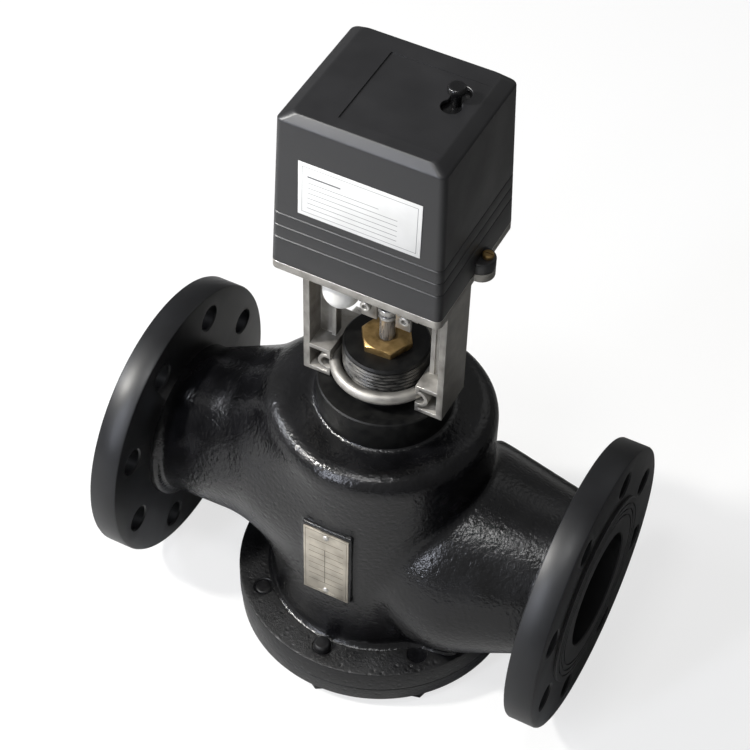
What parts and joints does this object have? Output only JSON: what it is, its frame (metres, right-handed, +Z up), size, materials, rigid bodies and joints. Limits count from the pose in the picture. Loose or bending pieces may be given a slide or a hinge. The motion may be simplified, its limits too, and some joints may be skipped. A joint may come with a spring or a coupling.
{
  "type": "pressure independent control valve",
  "caption": "Flanged pressure independent control valve with a black cast body, a bolted pressure regulator below and a yoke-mounted electric linear actuator above.",
  "frame": {"origin": "on the stem axis, at the level of the lowest bolt heads and of the boss under the bottom cover", "axes": "+X along the pipe to the outlet flange, +Y to the back, away from the nameplate and the label, +Z up the stem"},
  "size_m": [0.334, 0.2, 0.4759],
  "materials": {
    "body_casting": "glossy black paint over cast iron",
    "steel": "bright turned steel",
    "stainless": "machined stainless steel",
    "black_steel": "blackened steel",
    "brass": "machined brass",
    "bronze": "bearing bronze",
    "die_cast": "satin die-cast metal",
    "plated_steel": "dull plated steel",
    "spring_steel": "oil-tempered spring steel",
    "rubber": "black rubber",
    "white_plastic": "white nylon",
    "cover_plastic": "fine-grained black plastic",
    "label": "white film",
    "plate_metal": "stamped plate, bare",
    "board": "green laminate",
    "terminal_plastic": "green plastic",
    "cam_plastic": "orange plastic"
  },
  "bodies": {
    "housing": {"valve_body": "body_casting", "seat_ring": "stainless", "regulator_cage": "stainless", "bottom_cover": "body_casting", "cover_bolts": "black_steel", "rod_bush": "bronze", "diaphragm": "rubber", "regulator_spring": "spring_steel", "nameplate": "plate_metal", "nameplate_rivets": "plated_steel", "bonnet": "black_steel", "bonnet_seal": "rubber", "stem_bush": "bronze", "packing_washer": "stainless", "packing_rings": "white_plastic", "packing_nut": "brass", "u_bolt": "plated_steel", "u_bolt_washers": "plated_steel", "u_bolt_nuts": "plated_steel", "clamp_saddle": "die_cast", "yoke": "die_cast", "gland_body": "white_plastic", "gland_locknut": "white_plastic", "gland_plug": "white_plastic", "spindle_bush": "bronze", "gear_plate_lower": "plated_steel", "gear_plate_upper": "plated_steel", "gear_pillars": "steel", "pillar_nuts": "steel", "gear_shafts": "steel", "thrust_washers": "bronze", "drive_motor": "plated_steel", "limit_switches": "cover_plastic", "circuit_board": "board", "terminal_block": "terminal_plastic", "terminal_screws": "steel", "actuator_cover": "cover_plastic", "cover_screws": "brass", "label_plate": "label"},
    "stem": {"valve_stem": "steel", "control_plug": "stainless", "plug_nut": "steel", "coupling_front": "die_cast", "coupling_rear": "die_cast", "coupling_screws": "steel", "drive_spindle": "steel", "travel_cam": "cam_plastic"},
    "regulator": {"regulator_rod": "steel", "regulator_piston": "stainless", "rod_nuts": "steel", "diaphragm_plates": "stainless"},
    "declutch": {"declutch_knob": "cover_plastic", "declutch_slider": "cover_plastic"},
    "drive_gear": {"drive_gear": "brass"},
    "second_gear": {"second_gear": "white_plastic"},
    "first_gear": {"first_gear": "white_plastic"},
    "motor_pinion": {"motor_pinion": "brass"}
  },
  "joints": [
    {"name": "stem_travel", "type": "slide", "parent": "housing", "child": "stem", "axis": [0, 0, 1], "range_m": [0, 0.02]},
    {"name": "drive_gear_spin", "type": "hinge", "parent": "housing", "child": "drive_gear", "pos_m": [0, 0, 0.3754], "axis": [0, 0, 1], "range_deg": [-1800.1, 0]},
    {"name": "second_gear_spin", "type": "hinge", "parent": "housing", "child": "second_gear", "pos_m": [-0.02528, 0.02121, 0.3754], "axis": [0, 0, 1], "range_deg": [0, 6685.9]},
    {"name": "first_gear_spin", "type": "hinge", "parent": "housing", "child": "first_gear", "pos_m": [-0.00643, 0.03, 0.3754], "axis": [0, 0, 1], "range_deg": [-22285.9, 0]},
    {"name": "motor_pinion_spin", "type": "hinge", "parent": "housing", "child": "motor_pinion", "pos_m": [0.00951, 0.01663, 0.3754], "axis": [0, 0, 1], "range_deg": [0, 74285.9]},
    {"name": "regulator_travel", "type": "slide", "parent": "housing", "child": "regulator", "axis": [0, 0, 1], "range_m": [0, 0.01], "stiffness_N_per_m": 4000, "springref_m": -0.008, "deforming": ["regulator_spring", "diaphragm"]},
    {"name": "declutch_travel", "type": "slide", "parent": "housing", "child": "declutch", "axis": [0, 1, 0], "range_m": [-0.005, 0.005]}
  ],
  "couplings": [
    {"joint": "drive_gear_spin", "follows": "stem_travel", "rad_per_m": -1570.8},
    {"joint": "second_gear_spin", "follows": "stem_travel", "rad_per_m": 5834.4},
    {"joint": "first_gear_spin", "follows": "stem_travel", "rad_per_m": -19448},
    {"joint": "motor_pinion_spin", "follows": "stem_travel", "rad_per_m": 64827}
  ]
}
